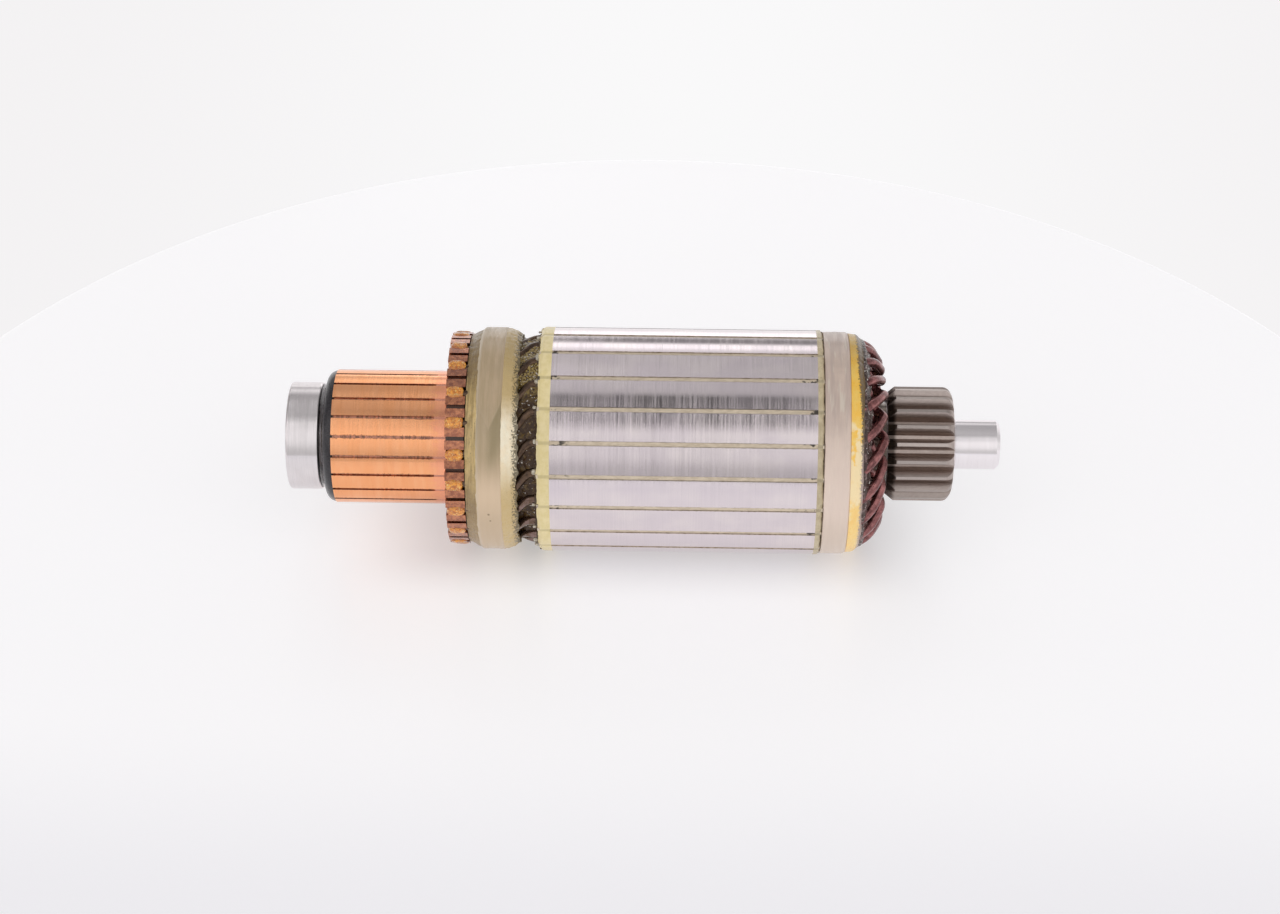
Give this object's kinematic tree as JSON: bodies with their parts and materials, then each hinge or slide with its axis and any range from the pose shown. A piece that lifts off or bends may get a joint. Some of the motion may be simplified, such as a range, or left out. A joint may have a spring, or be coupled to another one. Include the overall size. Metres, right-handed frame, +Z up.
{
  "type": "motor armature",
  "caption": "Starter motor armature: wound laminated core, copper commutator with risers, ball bearing at the rear end, sun-gear pinion and pilot journal at the front end.",
  "frame": {"origin": "halfway along the armature, on the shaft's axis", "axes": "+X along the shaft towards the pinion and the pilot journal; +Z up, with the armature lying on its side"},
  "size_m": [0.1718, 0.0542, 0.0542],
  "materials": {
    "shaft_steel": "satin, hardened teeth",
    "core_steel": "turned steel stampings",
    "pale_fibre": "varnished fibre",
    "olive_fibre": "varnished fibre",
    "liner_paper": "varnished paper",
    "enamelled_wire": "gloss enamel on copper",
    "bar_copper": "turned copper",
    "black_moulding": "moulded phenolic",
    "glass_tape_rear": "resin-bonded glass tape",
    "glass_tape_front": "resin-bonded glass tape",
    "cream_wrap": "varnished paper",
    "yellow_wrap": "varnished paper",
    "bearing_steel": "ground",
    "ball_steel": "polished",
    "cage_plastic": "moulded",
    "shield_steel": "pressed sheet"
  },
  "bodies": {
    "rotor": {"shaft": "shaft_steel", "lamination_core": "core_steel", "rear_end_fibre": "pale_fibre", "front_end_fibre": "olive_fibre", "slot_liners": "liner_paper", "hairpin_01": "enamelled_wire", "hairpin_02": "enamelled_wire", "hairpin_03": "enamelled_wire", "hairpin_04": "enamelled_wire", "hairpin_05": "enamelled_wire", "hairpin_06": "enamelled_wire", "hairpin_07": "enamelled_wire", "hairpin_08": "enamelled_wire", "hairpin_09": "enamelled_wire", "hairpin_10": "enamelled_wire", "hairpin_11": "enamelled_wire", "hairpin_12": "enamelled_wire", "hairpin_13": "enamelled_wire", "hairpin_14": "enamelled_wire", "hairpin_15": "enamelled_wire", "hairpin_16": "enamelled_wire", "hairpin_17": "enamelled_wire", "hairpin_18": "enamelled_wire", "hairpin_19": "enamelled_wire", "hairpin_20": "enamelled_wire", "hairpin_21": "enamelled_wire", "commutator_bar_01": "bar_copper", "commutator_bar_02": "bar_copper", "commutator_bar_03": "bar_copper", "commutator_bar_04": "bar_copper", "commutator_bar_05": "bar_copper", "commutator_bar_06": "bar_copper", "commutator_bar_07": "bar_copper", "commutator_bar_08": "bar_copper", "commutator_bar_09": "bar_copper", "commutator_bar_10": "bar_copper", "commutator_bar_11": "bar_copper", "commutator_bar_12": "bar_copper", "commutator_bar_13": "bar_copper", "commutator_bar_14": "bar_copper", "commutator_bar_15": "bar_copper", "commutator_bar_16": "bar_copper", "commutator_bar_17": "bar_copper", "commutator_bar_18": "bar_copper", "commutator_bar_19": "bar_copper", "commutator_bar_20": "bar_copper", "commutator_bar_21": "bar_copper", "commutator_hub": "black_moulding", "rear_band": "glass_tape_rear", "front_band": "glass_tape_front", "rear_band_wrap": "cream_wrap", "front_band_wrap": "yellow_wrap", "rear_layer_paper": "liner_paper", "front_layer_paper": "liner_paper", "bearing_inner_ring": "bearing_steel"},
    "outer_ring": {"bearing_outer_ring": "bearing_steel", "bearing_shields": "shield_steel"},
    "ball_set": {"bearing_cage": "cage_plastic", "bearing_balls": "ball_steel"}
  },
  "joints": [
    {"name": "bearing_spin", "type": "hinge", "parent": "rotor", "child": "outer_ring", "pos_m": [-0.08125, 0, 0], "axis": [1, 0, 0], "continuous": true},
    {"name": "ball_set_spin", "type": "hinge", "parent": "rotor", "child": "ball_set", "pos_m": [-0.08125, 0, 0], "axis": [1, 0, 0], "continuous": true}
  ],
  "couplings": [
    {"joint": "ball_set_spin", "follows": "bearing_spin", "ratio": 0.63228}
  ]
}
